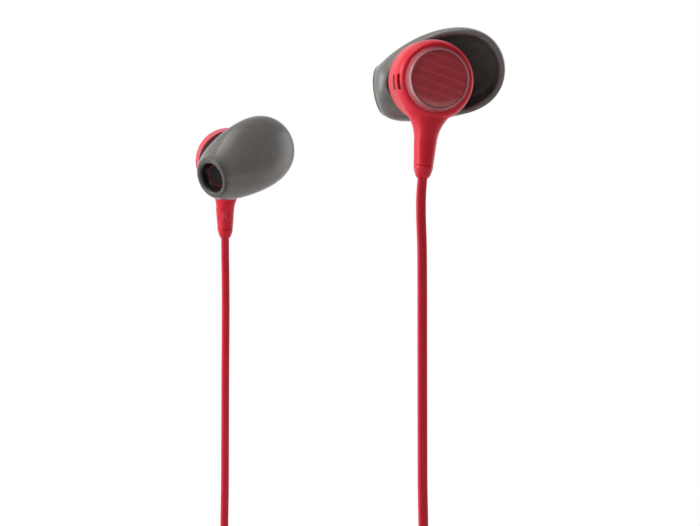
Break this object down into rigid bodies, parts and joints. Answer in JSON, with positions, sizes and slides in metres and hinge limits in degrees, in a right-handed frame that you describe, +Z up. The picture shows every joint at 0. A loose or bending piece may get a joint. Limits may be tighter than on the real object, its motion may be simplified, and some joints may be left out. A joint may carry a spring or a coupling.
{
  "type": "wired earphones",
  "caption": "Mirrored pair of in-ear earphones on flat red leads with a lead remote, a splitter, a coiled main lead and a 3.5 mm plug.",
  "frame": {"origin": "middle of the left ear tip's mouthpiece, where the ear holds it", "axes": "+Z up; +Y from the left earbud to the right one, as they sit on a wearer who faces -X"},
  "size_m": [0.051, 0.1661, 0.12],
  "materials": {
    "housing_red": "satin, fine grain",
    "remote_red": "satin",
    "nose_red": "gloss",
    "ring_red": "polished, clear red",
    "disc_red": "gloss over fine slanted lines",
    "cord_red": "satin flexible sheath",
    "silicone_grey": "smoke-grey translucent silicone",
    "mesh_dark": "fine acoustic mesh",
    "frame_black": "matt",
    "strap_black": "matt",
    "steel": "plain",
    "magnet_steel": "nickel plated",
    "gold_plate": "polished plating",
    "copper": "enamelled wire",
    "film_amber": "thin film",
    "board_green": "solder mask"
  },
  "bodies": {
    "earphones": {"left_housing": "housing_red", "left_stem_nose": "nose_red", "left_cord_anchor": "cord_red", "left_lead_wires": "copper", "left_bezel_ring": "ring_red", "left_face_disc": "disc_red", "left_vent_screens": "mesh_dark", "left_rear_cover": "housing_red", "left_nozzle_mesh": "mesh_dark", "left_driver_frame": "frame_black", "left_yoke": "steel", "left_magnet": "magnet_steel", "left_pole_plate": "steel", "left_front_plate": "steel", "left_terminal_board": "board_green", "right_housing": "housing_red", "right_stem_nose": "nose_red", "right_cord_anchor": "cord_red", "right_lead_wires": "copper", "right_bezel_ring": "ring_red", "right_face_disc": "disc_red", "right_vent_screens": "mesh_dark", "right_rear_cover": "housing_red", "right_nozzle_mesh": "mesh_dark", "right_driver_frame": "frame_black", "right_yoke": "steel", "right_magnet": "magnet_steel", "right_pole_plate": "steel", "right_front_plate": "steel", "right_terminal_board": "board_green", "left_cord_upper": "cord_red", "left_cord_lower": "cord_red", "right_cord": "cord_red", "main_cord_lead": "cord_red", "main_cord_coil": "cord_red", "main_cord_tail": "cord_red", "y_split_top": "nose_red", "y_split_base": "nose_red", "y_split_clamp": "frame_black", "remote_top_shell": "remote_red", "remote_base_shell": "remote_red", "remote_board": "board_green", "remote_switch": "steel", "remote_microphone": "steel", "plug_tip": "gold_plate", "plug_rings": "gold_plate", "plug_sleeve": "gold_plate", "plug_insulators": "frame_black", "plug_body": "remote_red", "plug_strain_relief": "nose_red", "cable_tie": "strap_black"},
    "left_tip": {"left_ear_tip": "silicone_grey"},
    "right_tip": {"right_ear_tip": "silicone_grey"},
    "button": {"remote_button": "nose_red"},
    "left_cone": {"left_diaphragm": "film_amber", "left_voice_coil": "copper"},
    "right_cone": {"right_diaphragm": "film_amber", "right_voice_coil": "copper"}
  },
  "joints": [
    {"name": "left_tip_pull", "type": "slide", "parent": "earphones", "child": "left_tip", "axis": [-0.6268, 0.7786, -0.0311], "range_m": [0, 0.008]},
    {"name": "right_tip_pull", "type": "slide", "parent": "earphones", "child": "right_tip", "axis": [-0.7084, -0.6128, -0.3503], "range_m": [0, 0.008]},
    {"name": "button_press", "type": "slide", "parent": "earphones", "child": "button", "axis": [0, 0, -1], "range_m": [0, 0.00035], "stiffness_N_per_m": 400, "springref_m": -0.0015},
    {"name": "left_cone_travel", "type": "slide", "parent": "earphones", "child": "left_cone", "axis": [0.0522, 0.9956, 0.0785], "range_m": [-0.0002, 0.0002], "stiffness_N_per_m": 400},
    {"name": "right_cone_travel", "type": "slide", "parent": "earphones", "child": "right_cone", "axis": [-0.0842, -0.9623, -0.2588], "range_m": [-0.0002, 0.0002], "stiffness_N_per_m": 400}
  ]
}
